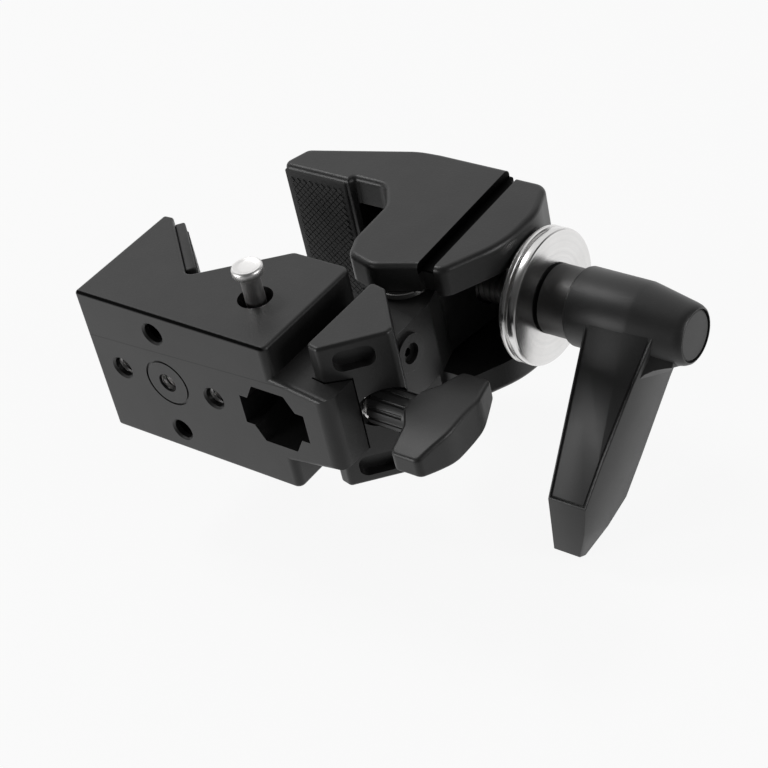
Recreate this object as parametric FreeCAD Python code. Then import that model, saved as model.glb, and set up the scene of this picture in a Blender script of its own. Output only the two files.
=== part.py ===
import FreeCAD, Part
import os
from math import cos, pi, radians, sin, tan

V = FreeCAD.Vector

# Frame: millimetres, +Z is the thickness of the clamp, the mounting face is y = 0 and faces -Y.
# The pieces are drawn from a plane 2 mm inside the block's left end, and are moved at the end so
# that the mouth of the centre thread is the origin.
HOLE_X = 21.1
HOLE_RING = 14.5

# Fixed jaw
BODY_HALF = 20.6
BLOCK_LEFT = -2.0
BLOCK_RIGHT = 56.3
BLOCK_DEPTH = 33.0
VEE_X = 20.1
VEE_Y = 15.8
VEE_SLOPE = radians(42)
VEE_LEFT_WALL = 24.4
VEE_RIGHT_WALL = 25.2
WEB_START = 50.0
WEB_START_HALF = 13.2
WEB_END = 71.5
WEB_END_HALF = 10.0
WEB_DEPTH = 33.6
ARM_HALF = 10.0
ARM_LEFT = 54.2
CENTRE_HOLE_R = 2.55
CENTRE_HOLE_DEPTH = 11.0
CENTRE_RING_R = 6.5
CENTRE_RING_WIDTH = 0.6
CENTRE_RING_DEPTH = 0.4
BASE_HOLE_R = 2.65
BASE_HOLE_DEPTH = 9.0
GRUB_Y = 29.2
GRUB_Z = 3.1
GRUB_R = 2.55
GRUB_BOSS_R = 4.8
GRUB_BOSS_END = 72.3

# Stud socket
SOCKET_X = 53.9
SOCKET_FLATS = 16.2
SOCKET_DEPTH = 27.0
SOCKET_SLOT_HALF_WIDTH = 9.4
SOCKET_SLOT_HALF_HEIGHT = 4.0

# Spring lock pin
LOCK_X = 42.0
LOCK_Y = 15.0
LOCK_BORE_R = 4.25
LOCK_BODY_R = 4.17
LOCK_WAIST_R = 2.4
LOCK_BODY_LOW = -2.9
LOCK_BODY_HIGH = 3.6
LOCK_TOP = 29.5
LOCK_HEAD_R = 3.75
LOCK_BUSH = 4.0
LOCK_PLUG = 3.0

# Wing knob and its screw
KNOB_Y = 14.2
KNOB_SCREW_R = 3.9
KNOB_THREAD_R = 4.0
SHOE_R = 4.95
SHOE_FACE = 62.9
SHOE_LENGTH = 2.5
SHOE_BORE_END = 66.3
KNOB_HUB_START = 73.3
KNOB_HUB_R = 4.7
BLADE_START = 86.0
BLADE_SHOULDER = 94.6
BLADE_END = 97.6
BLADE_HALF = 14.4
BLADE_MIDDLE_HALF = 4.9
BLADE_TIP_HALF = 2.5
BLADE_TILT = 2.0

# Nose block that straddles the neck
NOSE_HALF = 20.2
NOSE_LEFT = 63.6
NOSE_FRONT = 5.3
NOSE_TIP = 78.5
NOSE_TIP_Y = 16.8
NOSE_BACK = 30.8
NOSE_POCKET = 9.6
NOSE_POCKET_HALF = 2.8
NOSE_POCKET_Z = 15.3
NOSE_HUB_CLEARANCE = 0.5

# Pivot
PIVOT_X = 62.0
PIVOT_Y = 43.0
PIVOT_R = 2.95
PIVOT_BORE_R = 3.0
BARREL_R = 8.0
PIVOT_WASHER_R = 5.2
PLATE_INNER = 12.3
PIVOT_BLIND = 17.4
PIVOT_PIN_LOW = -18.0
CLIP_R = 4.4
JAW_SPRING_R = 5.45
JAW_SPRING_WIRE = 0.55
JAW_SPRING_POCKET_R = 6.3
JAW_SPRING_POCKET_HALF = 4.6

# Moving jaw
JAW_HALF = 19.9
JAW_RIM = 1.5
JAW_TIP = 11.4
JAW_FACE = 62.9
JAW_BACK = 80.9
JAW_SPINE = 5.0
JAW_LEFT = 48.6
JAW_ROUND = 84.3
HOLLOW_LEFT = 33.2
GROOVE_X = 70.8
GROOVE_WIDTH = 4.2
GROOVE_DEPTH = 2.2
GROOVE_SLANT = 2.4
PAD_THICK = 2.8
PAD_FACE = 62.2
PAD_LEFT = 12.4
PAD_LENGTH = 19.2
PAD_HALF = 18.7

# Main screw, trunnion, washers and lever
SCREW_Y = 62.9
SCREW_R = 4.95
SCREW_BORE_R = 5.05
SCREW_START = 54.5
TRUNNION_X = 63.2
TRUNNION_R = 6.1
TRUNNION_BORE_R = 6.15
BOSS_R = 8.3
DISC_START = 84.5
DISC_MIDDLE = 86.5
DISC_END = 89.2
DISC_R = 16.6
INSERT_END = 96.9
INSERT_R = 8.5
SPLINE_R = 7.0
SPLINE_END = 103.2
HUB_R = 9.6
HUB_SHOULDER = 113.7
HUB_NOSE = 125.2
HUB_END = 126.8
HUB_NOSE_R = 7.3
CAP_R = 6.2
LEVER_SHELF = 2.5
LEVER_SEAT = HUB_NOSE - 10.0
LEVER_SPRING_R = 3.9
LEVER_SPRING_WIRE = 0.5
LEVER_SPRING_HEIGHT = 4.0
HANDLE_ANGLE = 29.5
HANDLE_REACH = 58.0
HANDLE_LEFT = 101.0

CENTRE = V(0, 0, 0)
ALONG_X = V(1, 0, 0)
ALONG_Y = V(0, 1, 0)
ALONG_Z = V(0, 0, 1)


def outline(points, level=0.0):
    """Closed flat face in plan; each corner is x, y and its rounding radius."""
    runs = []
    for i, (x, y, radius) in enumerate(points):
        corner = V(x, y, level)
        before = points[i - 1]
        after = points[(i + 1) % len(points)]
        back = (V(before[0], before[1], level) - corner).normalize()
        ahead = (V(after[0], after[1], level) - corner).normalize()
        if radius == 0:
            runs.append((corner, None, corner))
            continue
        half = back.getAngle(ahead) / 2
        reach = radius / tan(half)
        centre = corner + (back + ahead).normalize() * (radius / sin(half))
        middle = centre + (corner - centre).normalize() * radius
        runs.append((corner + back * reach, middle, corner + ahead * reach))
    edges = []
    for i, (start, middle, end) in enumerate(runs):
        if middle:
            edges.append(Part.Arc(start, middle, end).toShape())
        following = runs[(i + 1) % len(runs)][0]
        if end.distanceToPoint(following) > 0.001:
            edges.append(Part.LineSegment(end, following).toShape())
    return Part.Face(Part.Wire(edges))


def plate(points, low, high):
    """Outline in plan, solid between two heights."""
    return outline(points, low).extrude(V(0, 0, high - low))


def section(points, start, length, direction):
    """Outline drawn across X (as y, z) or across Y (as x, z), solid along that axis."""
    face = outline(points)
    if direction == "x":
        face.rotate(CENTRE, V(1, 1, 1), 120)
        face.translate(V(start, 0, 0))
        return face.extrude(V(length, 0, 0))
    face.rotate(CENTRE, ALONG_X, 90)
    face.translate(V(0, start, 0))
    return face.extrude(V(0, length, 0))


def rod(radius, base, direction, length):
    return Part.makeCylinder(radius, length, base, direction)


def along_screw(profile):
    """Solid turned about the main screw's axis; the profile is x and radius."""
    points = [V(x, SCREW_Y + radius, 0) for x, radius in profile]
    face = Part.Face(Part.makePolygon(points + [points[0]]))
    return face.revolve(V(0, SCREW_Y, 0), ALONG_X, 360)


def turned(profile, x, y):
    """Solid turned about an upright axis; the profile is radius and height."""
    points = [V(x + radius, y, z) for radius, z in profile]
    face = Part.Face(Part.makePolygon(points + [points[0]]))
    return face.revolve(V(x, y, 0), ALONG_Z, 360)


def rim(shape, level, radius):
    """Rounds every edge that lies at plus or minus one height."""
    edges = []
    for edge in shape.Edges:
        heights = [abs(corner.Z) for corner in edge.Vertexes] + [abs(edge.CenterOfMass.z)]
        if all(abs(height - level) < 0.001 for height in heights):
            edges.append(edge)
    return shape.makeFillet(radius, edges)


def coil(radius, wire, length, turns):
    """Helical spring standing on the origin along Z."""
    path = Part.Wire(Part.makeHelix(length / turns, length, radius))
    section_wire = Part.Wire(Part.makeCircle(wire, V(radius, 0, 0), ALONG_Y))
    return path.makePipeShell([section_wire], True, True)


def vee_point(distance, side):
    """Point on a wall of the vee, at a distance from its root."""
    return VEE_X + side * distance * cos(VEE_SLOPE), VEE_Y + distance * sin(VEE_SLOPE)


def hexagon(x, y, point, radius=0.0):
    """Corners of a hexagon that points along its first axis."""
    corners = []
    for i in range(6):
        angle = radians(60 * i)
        corners.append((x + point * cos(angle), y + point * sin(angle), radius))
    return corners


def socket_shape():
    """Hexagonal stud socket with the two corners that lie across it opened by a slot."""
    point = SOCKET_FLATS / 2 / cos(radians(30))
    prism = section(hexagon(SOCKET_X, 0, point, 0.4), 0, SOCKET_DEPTH, "y")
    width = SOCKET_SLOT_HALF_WIDTH
    height = SOCKET_SLOT_HALF_HEIGHT
    slot = Part.makeBox(2 * width, SOCKET_DEPTH, 2 * height, V(SOCKET_X - width, 0, -height))
    return prism.fuse(slot)


def web_shape(margin=0.0):
    """The neck between the block and the arm, narrower towards its end, seen as a section."""
    return section([
        (WEB_START, -WEB_START_HALF - margin, 0), (WEB_END, -WEB_END_HALF - margin, 0),
        (WEB_END, WEB_END_HALF + margin, 0), (WEB_START, WEB_START_HALF + margin, 0),
    ], 0, WEB_DEPTH, "y")


def fixed_jaw():
    left = vee_point(VEE_LEFT_WALL, -1)
    right = vee_point(VEE_RIGHT_WALL, 1)
    block = plate([
        (BLOCK_LEFT, 0, 0.8), (BLOCK_RIGHT, 0, 1.8), (BLOCK_RIGHT, BLOCK_DEPTH, 2.5),
        (right[0] + 0.6, BLOCK_DEPTH, 2.2), (VEE_X, VEE_Y, 2.0), (left[0], left[1], 0.5),
        (left[0] - 1.2, BLOCK_DEPTH + 0.4, 0.8), (BLOCK_LEFT, BLOCK_DEPTH + 0.2, 0.8),
    ], -BODY_HALF, BODY_HALF)
    block = rim(block, BODY_HALF, 0.9)
    web = web_shape()
    web = web.makeFillet(1.4, [edge for edge in web.Edges if abs(edge.CenterOfMass.y) < 0.001
                               and abs(edge.CenterOfMass.z) > 1])
    web = web.common(plate([
        (WEB_START, 0, 0), (WEB_END, 0, 3.4), (WEB_END, WEB_DEPTH, 1.5), (WEB_START, WEB_DEPTH, 0),
    ], -BODY_HALF, BODY_HALF))
    arm = plate([
        (ARM_LEFT, BLOCK_DEPTH - 3, 0), (WEB_END, BLOCK_DEPTH - 3, 0), (WEB_END, PIVOT_Y - 3.5, 3),
        (PIVOT_X + 7, PIVOT_Y + 4, 6), (TRUNNION_X + BOSS_R, SCREW_Y, 0),
        (TRUNNION_X - BOSS_R, SCREW_Y, 0), (ARM_LEFT, PIVOT_Y + 4, 4),
    ], -ARM_HALF, ARM_HALF)
    arm = arm.fuse(rod(BARREL_R, V(PIVOT_X, PIVOT_Y, -ARM_HALF), ALONG_Z, 2 * ARM_HALF))
    arm = arm.fuse(rod(BOSS_R, V(TRUNNION_X, SCREW_Y, -ARM_HALF), ALONG_Z, 2 * ARM_HALF))
    boss = rod(GRUB_BOSS_R, V(WEB_END - 1, GRUB_Y, GRUB_Z), ALONG_X, GRUB_BOSS_END - WEB_END + 1)
    body = block.fuse([web, arm, boss]).removeSplitter()

    holes = [socket_shape()]
    centre = V(HOLE_X, 0, 0)
    holes.append(rod(CENTRE_HOLE_R, centre, ALONG_Y, CENTRE_HOLE_DEPTH))
    ring = rod(CENTRE_RING_R, centre, ALONG_Y, CENTRE_RING_DEPTH)
    holes.append(ring.cut(rod(CENTRE_RING_R - CENTRE_RING_WIDTH, centre, ALONG_Y, CENTRE_RING_DEPTH)))
    for i in range(4):
        angle = radians(90 * i)
        mouth = V(HOLE_X + HOLE_RING * cos(angle), 0, HOLE_RING * sin(angle))
        holes.append(rod(BASE_HOLE_R, mouth, ALONG_Y, BASE_HOLE_DEPTH))
        holes.append(Part.makeCone(BASE_HOLE_R + 0.5, BASE_HOLE_R, 0.5, mouth, ALONG_Y))
    holes.append(rod(LOCK_BORE_R, V(LOCK_X, LOCK_Y, -BODY_HALF), ALONG_Z, 2 * BODY_HALF))
    holes.append(rod(SHOE_R + 0.1, V(SOCKET_X, KNOB_Y, 0), ALONG_X, SHOE_BORE_END - SOCKET_X))
    holes.append(rod(KNOB_THREAD_R, V(SOCKET_X, KNOB_Y, 0), ALONG_X, WEB_END - SOCKET_X + 1))
    holes.append(rod(PIVOT_R, V(PIVOT_X, PIVOT_Y, -ARM_HALF), ALONG_Z, 2 * ARM_HALF))
    pocket = V(PIVOT_X, PIVOT_Y, -JAW_SPRING_POCKET_HALF)
    holes.append(rod(JAW_SPRING_POCKET_R, pocket, ALONG_Z, 2 * JAW_SPRING_POCKET_HALF))
    holes.append(Part.makeBox(9, 4.4, 3.2, V(PIVOT_X - 9.5, PIVOT_Y + 2.6, 1.4)))
    holes.append(rod(TRUNNION_BORE_R, V(TRUNNION_X, SCREW_Y, -ARM_HALF), ALONG_Z, 2 * ARM_HALF))
    holes.append(rod(5.6, V(TRUNNION_X - BOSS_R - 1, SCREW_Y, 0), ALONG_X, 2 * BOSS_R + 2))
    holes.append(rod(GRUB_R + 0.05, V(WEB_END - 8, GRUB_Y, GRUB_Z), ALONG_X, 10))
    return body.cut(holes)


def fixed_pad():
    """Lining on the vee's left wall, with a lip that turns into the root."""
    start = vee_point(2.8, -1)
    end = vee_point(VEE_LEFT_WALL - 0.5, -1)
    brow = vee_point(VEE_LEFT_WALL - 1.5, -1)
    lift = V(sin(VEE_SLOPE), cos(VEE_SLOPE), 0) * PAD_THICK
    pad = plate([
        (start[0], start[1], 0), (end[0], end[1], 0.3),
        (brow[0] + lift.x, brow[1] + lift.y, 1.0), (start[0] + lift.x, start[1] + lift.y, 1.4),
    ], 0.9 - BODY_HALF, BODY_HALF - 0.9)
    return pad


def nose_block():
    """Wedge-shaped casting that sits on the web's end, with a bore for the knob's hub."""
    slope = NOSE_TIP_Y - NOSE_FRONT
    nose = plate([
        (NOSE_LEFT, NOSE_FRONT + 0.7, 1.2), (NOSE_TIP - slope, NOSE_FRONT, 1.2),
        (NOSE_TIP - 0.1, NOSE_TIP_Y, 1.2), (NOSE_TIP, NOSE_TIP_Y + 1.8, 1.2),
        (NOSE_LEFT + 4.4, NOSE_BACK - 0.8, 1.5), (NOSE_LEFT, NOSE_BACK, 1.2),
    ], -NOSE_HALF, NOSE_HALF)
    nose = rim(nose, NOSE_HALF, 0.9)
    bore = rod(KNOB_HUB_R + NOSE_HUB_CLEARANCE, V(WEB_END - 1, KNOB_Y, 0), ALONG_X, NOSE_TIP - WEB_END + 2)
    clearance = rod(GRUB_BOSS_R + 0.4, V(WEB_END - 1, GRUB_Y, GRUB_Z), ALONG_X, 10)
    nose = nose.cut([web_shape(), bore, clearance])
    for side in (1, -1):
        pocket = Part.makeBox(NOSE_POCKET, 3.2, 2 * NOSE_POCKET_HALF,
                              V(-NOSE_POCKET / 2, -3.2, -NOSE_POCKET_HALF))
        upright = [edge for edge in pocket.Edges if abs(edge.tangentAt(0).y) > 0.9]
        pocket = pocket.makeFillet(2.2, upright)
        pocket.rotate(CENTRE, ALONG_Z, 45)
        middle = V(NOSE_TIP - slope / 2 - 0.3, NOSE_FRONT + slope / 2 - 0.3, side * NOSE_POCKET_Z)
        pocket.translate(middle + V(-1.9, 1.9, 0))
        nose = nose.cut(pocket)
    return nose


def grub_screw():
    """Set screw in the boss on the web's end face, with a hexagon recess."""
    end = WEB_END - 0.4
    screw = rod(GRUB_R, V(WEB_END - 7.5, GRUB_Y, GRUB_Z), ALONG_X, 7.1)
    recess = section(hexagon(GRUB_Y, GRUB_Z, 1.15), end - 2, 3, "x")
    return screw.cut(recess)


def lock_pin():
    return turned([
        (0, LOCK_BODY_LOW), (LOCK_BODY_R, LOCK_BODY_LOW), (LOCK_BODY_R, LOCK_BODY_HIGH),
        (LOCK_WAIST_R, LOCK_BODY_HIGH), (LOCK_WAIST_R, LOCK_TOP - 3.4),
        (LOCK_HEAD_R, LOCK_TOP - 1.9), (LOCK_HEAD_R, LOCK_TOP - 0.5),
        (LOCK_HEAD_R - 0.7, LOCK_TOP), (0, LOCK_TOP),
    ], LOCK_X, LOCK_Y)


def lock_bush():
    low = LOCK_BODY_HIGH + 0.05
    bush = rod(LOCK_BORE_R, V(LOCK_X, LOCK_Y, low), ALONG_Z, LOCK_BUSH)
    return bush.cut(rod(LOCK_WAIST_R + 0.08, V(LOCK_X, LOCK_Y, low), ALONG_Z, LOCK_BUSH))


def lock_plug():
    low = -BODY_HALF + 0.4
    plug = rod(LOCK_BORE_R, V(LOCK_X, LOCK_Y, low), ALONG_Z, LOCK_PLUG)
    driver = Part.makeBox(6, 1, 1.2, V(LOCK_X - 3, LOCK_Y - 0.5, low))
    return plug.cut(driver)


def lock_spring():
    bottom = LOCK_PLUG - BODY_HALF + 0.4
    spring = coil(2.9, 0.45, LOCK_BODY_LOW - bottom - 1.1, 5)
    spring.translate(V(LOCK_X, LOCK_Y, bottom + 0.55))
    return spring


def clamping_shoe():
    shoe = rod(SHOE_R, V(SHOE_FACE, KNOB_Y, 0), ALONG_X, SHOE_LENGTH)
    return shoe.makeChamfer(0.4, [shoe.Edges[0], shoe.Edges[2]])


def knob_screw():
    start = SHOE_FACE + SHOE_LENGTH
    return rod(KNOB_SCREW_R, V(start, KNOB_Y, 0), ALONG_X, BLADE_START + 6 - start)


def wing_knob():
    """Moulded wing: a ribbed hub and a lens-shaped cross bar with a bowed outer edge."""
    shape = outline([
        (BLADE_START - 2, -KNOB_HUB_R + 0.6, 0), (BLADE_START, -7.0, 2),
        (BLADE_START + 1, -BLADE_HALF, 1.8), (BLADE_SHOULDER, -BLADE_HALF, 1.8),
        (BLADE_END, -5.5, 12), (BLADE_END, 5.5, 12), (BLADE_SHOULDER, BLADE_HALF, 1.8),
        (BLADE_START + 1, BLADE_HALF, 1.8), (BLADE_START, 7.0, 2),
        (BLADE_START - 2, KNOB_HUB_R - 0.6, 0),
    ], -10)
    bar = shape.extrude(V(0, 0, 20))
    over = Part.Arc(V(70, -BLADE_HALF, BLADE_TIP_HALF), V(70, 0, BLADE_MIDDLE_HALF),
                    V(70, BLADE_HALF, BLADE_TIP_HALF)).toShape()
    under = Part.Arc(V(70, BLADE_HALF, -BLADE_TIP_HALF), V(70, 0, -BLADE_MIDDLE_HALF),
                     V(70, -BLADE_HALF, -BLADE_TIP_HALF)).toShape()
    tips = [
        Part.LineSegment(V(70, side * BLADE_HALF, side * BLADE_TIP_HALF),
                         V(70, side * BLADE_HALF, -side * BLADE_TIP_HALF)).toShape()
        for side in (1, -1)
    ]
    lens = Part.Face(Part.Wire([over, tips[0], under, tips[1]])).extrude(V(40, 0, 0))
    bar = bar.common(lens)
    outer = []
    for edge in bar.Edges:
        middle = edge.valueAt((edge.FirstParameter + edge.LastParameter) / 2)
        if middle.x > BLADE_START + 1 and abs(middle.z) > 1.5:
            outer.append(edge)
    bar = bar.makeFillet(1.0, outer)
    hub = rod(KNOB_HUB_R, V(KNOB_HUB_START, 0, 0), ALONG_X, BLADE_START - KNOB_HUB_START)
    hub = hub.fuse(Part.makeCone(KNOB_HUB_R, KNOB_SCREW_R + 0.6, 6, V(BLADE_START, 0, 0), ALONG_X))
    ribs = []
    for i in range(12):
        angle = 2 * pi * i / 12
        centre = V(KNOB_HUB_START - 1, KNOB_HUB_R * cos(angle), KNOB_HUB_R * sin(angle))
        ribs.append(rod(0.5, centre, ALONG_X, BLADE_START - KNOB_HUB_START - 2))
    knob = hub.cut(ribs).fuse(bar)
    knob = knob.cut(rod(KNOB_SCREW_R, V(KNOB_HUB_START - 1, 0, 0), ALONG_X,
                        BLADE_START + 7 - KNOB_HUB_START))
    knob.rotate(CENTRE, ALONG_X, BLADE_TILT)
    knob.translate(V(0, KNOB_Y, 0))
    return knob


def pivot_pin():
    low = PIVOT_PIN_LOW
    pin = rod(PIVOT_R, V(PIVOT_X, PIVOT_Y, low), ALONG_Z, PIVOT_BLIND - 0.3 - low)
    groove = turned([
        (PIVOT_R - 0.6, low + 0.9), (PIVOT_R + 1, low + 0.9),
        (PIVOT_R + 1, low + 1.8), (PIVOT_R - 0.6, low + 1.8),
    ], PIVOT_X, PIVOT_Y)
    return pin.cut(groove)


def pivot_clip():
    """Retaining ring in the pin's groove, in a counterbore of the lower plate."""
    low = PIVOT_PIN_LOW
    ring = turned([
        (PIVOT_R - 0.55, low + 0.95), (CLIP_R, low + 0.95), (CLIP_R, low + 1.75),
        (PIVOT_R - 0.55, low + 1.75),
    ], PIVOT_X, PIVOT_Y)
    return ring.cut(Part.makeBox(6, 2.6, 3, V(PIVOT_X, PIVOT_Y - 1.3, low)))


def pivot_washer(side):
    low = min(side * ARM_HALF, side * (PLATE_INNER - 0.1))
    high = max(side * ARM_HALF, side * (PLATE_INNER - 0.1))
    return turned([
        (PIVOT_BORE_R, low), (PIVOT_WASHER_R, low), (PIVOT_WASHER_R, high), (PIVOT_BORE_R, high),
    ], PIVOT_X, PIVOT_Y)


def jaw_spring():
    """Spring in the arm's pocket that swings the moving jaw open."""
    height = 2 * (JAW_SPRING_POCKET_HALF - JAW_SPRING_WIRE - 0.2)
    spring = coil(JAW_SPRING_R, JAW_SPRING_WIRE, height, 4)
    spring.translate(V(PIVOT_X, PIVOT_Y, -height / 2))
    return spring


def trunnion():
    nut = rod(TRUNNION_R, V(TRUNNION_X, SCREW_Y, -ARM_HALF), ALONG_Z, 2 * ARM_HALF)
    return nut.cut(rod(SCREW_BORE_R, V(TRUNNION_X - 8, SCREW_Y, 0), ALONG_X, 16))


def jaw_outline():
    """The moving jaw seen from above, from the hook's tip round the back."""
    return [
        (JAW_TIP - 0.4, JAW_FACE, 2.0), (JAW_TIP + 2.4, JAW_FACE + 8.2, 2.5),
        (PIVOT_X - 20, JAW_BACK - 0.4, 20), (PIVOT_X - 14, JAW_BACK, 0),
        (GROOVE_X - 1.6, JAW_BACK, 1.0), (GROOVE_X - 1.2, JAW_BACK - 2.2, 1.0),
        (JAW_ROUND - 4, JAW_BACK - 2.2, 4.0), (JAW_ROUND, JAW_BACK - 12.6, 18),
        (JAW_ROUND - 0.1, PIVOT_Y + 12, 24), (JAW_ROUND - 8, PIVOT_Y - 2.6, 3.5),
        (GROOVE_X - 0.8, PIVOT_Y - 2.6, 8), (PIVOT_X - 3, PIVOT_Y - 7, 6),
        (JAW_LEFT + 2.5, PIVOT_Y - 4.8, 3.2), (JAW_LEFT, PIVOT_Y + 1, 4),
        (JAW_LEFT - 0.8, PIVOT_Y + 14.5, 6), (JAW_LEFT - 6, JAW_FACE + 1.7, 4),
        (PAD_LEFT + PAD_LENGTH + 1.8, JAW_FACE + 1.7, 0.8),
        (PAD_LEFT + PAD_LENGTH + 1.0, JAW_FACE, 0.4),
    ]


def moving_jaw():
    jaw = plate(jaw_outline(), -JAW_HALF, JAW_HALF)
    jaw = rim(jaw, JAW_HALF, JAW_RIM)
    floor = JAW_BACK - JAW_SPINE
    behind = JAW_ROUND + 5
    hollow = plate([
        (HOLLOW_LEFT, JAW_FACE - 3, 0), (HOLLOW_LEFT, floor - 1.7, 2),
        (HOLLOW_LEFT + 10.8, floor, 6), (PIVOT_X, floor, 3), (PIVOT_X + 12, floor - 3.4, 4),
        (behind, floor - 3.4, 0), (behind, PIVOT_Y - 13, 0), (PIVOT_X - 12, PIVOT_Y - 13, 0),
        (PIVOT_X - 16, PIVOT_Y + 7, 0),
    ], -PLATE_INNER, PLATE_INNER)
    throat = plate([
        (JAW_LEFT - 2, PIVOT_Y + 4, 1), (JAW_LEFT + 3, PIVOT_Y + 4, 1),
        (JAW_LEFT + 3, PIVOT_Y + 15, 1), (JAW_LEFT - 2, PIVOT_Y + 15, 1),
    ], -PLATE_INNER - 0.2, PLATE_INNER + 0.2)
    throat = throat.common(plate(jaw_outline(), -JAW_HALF, JAW_HALF))
    jaw = jaw.cut(hollow).fuse(throat)
    bed = moving_pad()
    jaw = jaw.cut(bed)
    for side in (1, -1):
        band = Part.makeBox(GROOVE_WIDTH, 50, 4, V(-GROOVE_WIDTH / 2, -25, 0))
        band.rotate(CENTRE, ALONG_Z, GROOVE_SLANT)
        low = JAW_HALF - GROOVE_DEPTH if side > 0 else GROOVE_DEPTH - 4 - JAW_HALF
        band.translate(V(GROOVE_X, (PIVOT_Y + JAW_BACK) / 2 - 1.5, low))
        jaw = jaw.cut(band)
    notch = Part.makeBox(GROOVE_WIDTH, 3, 2 * JAW_HALF,
                         V(GROOVE_X - GROOVE_WIDTH / 2 + 0.8, PIVOT_Y - 4.4, -JAW_HALF))
    jaw = jaw.cut(notch)
    bore_low = -JAW_HALF - 1
    jaw = jaw.cut([
        rod(PIVOT_BORE_R, V(PIVOT_X, PIVOT_Y, bore_low), ALONG_Z, PIVOT_BLIND - bore_low),
        rod(CLIP_R + 0.2, V(PIVOT_X, PIVOT_Y, bore_low), ALONG_Z, PIVOT_PIN_LOW + 2 - bore_low),
    ])
    return jaw


def moving_pad():
    """Lining of the hook, let into the casting and standing a little proud of it."""
    corner = V(PAD_LEFT, PAD_FACE, -PAD_HALF)
    pad = Part.makeBox(PAD_LENGTH, PAD_THICK, 2 * PAD_HALF, corner)
    corners = [edge for edge in pad.Edges if abs(edge.tangentAt(0).y) > 0.9]
    return pad.makeFillet(1.2, corners)


def inner_disc():
    return along_screw([
        (DISC_START, SCREW_R + 0.3), (DISC_MIDDLE, SCREW_R + 0.3), (DISC_MIDDLE, DISC_R - 0.6),
        (DISC_MIDDLE - 0.6, DISC_R), (DISC_START + 0.4, DISC_R), (DISC_START, DISC_R - 0.4),
    ])


def outer_disc():
    return along_screw([
        (DISC_MIDDLE, SCREW_R + 0.3), (DISC_END, SCREW_R + 0.3), (DISC_END, DISC_R - 0.8),
        (DISC_END - 0.8, DISC_R), (DISC_MIDDLE + 0.6, DISC_R), (DISC_MIDDLE, DISC_R - 0.6),
    ])


def main_screw():
    return along_screw([
        (SCREW_START, 0), (SCREW_START, SCREW_R - 0.8), (SCREW_START + 0.8, SCREW_R),
        (SPLINE_END - 2, SCREW_R), (SPLINE_END - 2, 0),
    ])


def stop_ring():
    """Ring on the screw's inner end that keeps it from leaving the trunnion."""
    ring = along_screw([
        (SCREW_START + 1.2, SCREW_R), (SCREW_START + 2.2, SCREW_R), (SCREW_START + 2.2, 5.5),
        (SCREW_START + 1.2, 5.5),
    ])
    return ring


def hub_insert():
    """Steel insert fixed on the screw, with the teeth that the lever locks on."""
    body = along_screw([
        (DISC_END, SCREW_R), (DISC_END, INSERT_R - 0.6), (DISC_END + 0.6, INSERT_R),
        (INSERT_END, INSERT_R), (INSERT_END, SPLINE_R), (SPLINE_END, SPLINE_R),
        (SPLINE_END, 0), (SPLINE_END - 2, 0), (SPLINE_END - 2, SCREW_R),
    ])
    teeth = []
    for i in range(18):
        angle = 2 * pi * i / 18
        centre = V(INSERT_END, SCREW_Y + SPLINE_R * cos(angle), SPLINE_R * sin(angle))
        teeth.append(rod(0.55, centre, ALONG_X, SPLINE_END - INSERT_END))
    hole = rod(2.0, V(SPLINE_END - 2, SCREW_Y, 0), ALONG_X, 3)
    return body.cut(teeth + [hole])


def lever_screw():
    head = LEVER_SEAT + 1.0
    screw = along_screw([
        (SPLINE_END - 2, 0), (SPLINE_END - 2, 2.0), (head, 2.0), (head, 4.2), (head + 3.2, 4.2),
        (head + 3.2, 0),
    ])
    recess = section(hexagon(SCREW_Y, 0, 1.7), head + 1.2, 3, "x")
    return screw.cut(recess)


def spring_seat():
    seat = LEVER_SEAT
    return along_screw([(seat, 2.3), (seat + 0.95, 2.3), (seat + 0.95, 5.4), (seat, 5.4)])


def lever_spring():
    """The spring as short as it is with the lever pulled out, against its washer."""
    spring = coil(LEVER_SPRING_R, LEVER_SPRING_WIRE, LEVER_SPRING_HEIGHT, 3.5)
    spring.rotate(CENTRE, ALONG_Y, 90)
    start = LEVER_SEAT - LEVER_SPRING_WIRE - 0.05 - LEVER_SPRING_HEIGHT
    spring.translate(V(start, SCREW_Y, 0))
    return spring


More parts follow.
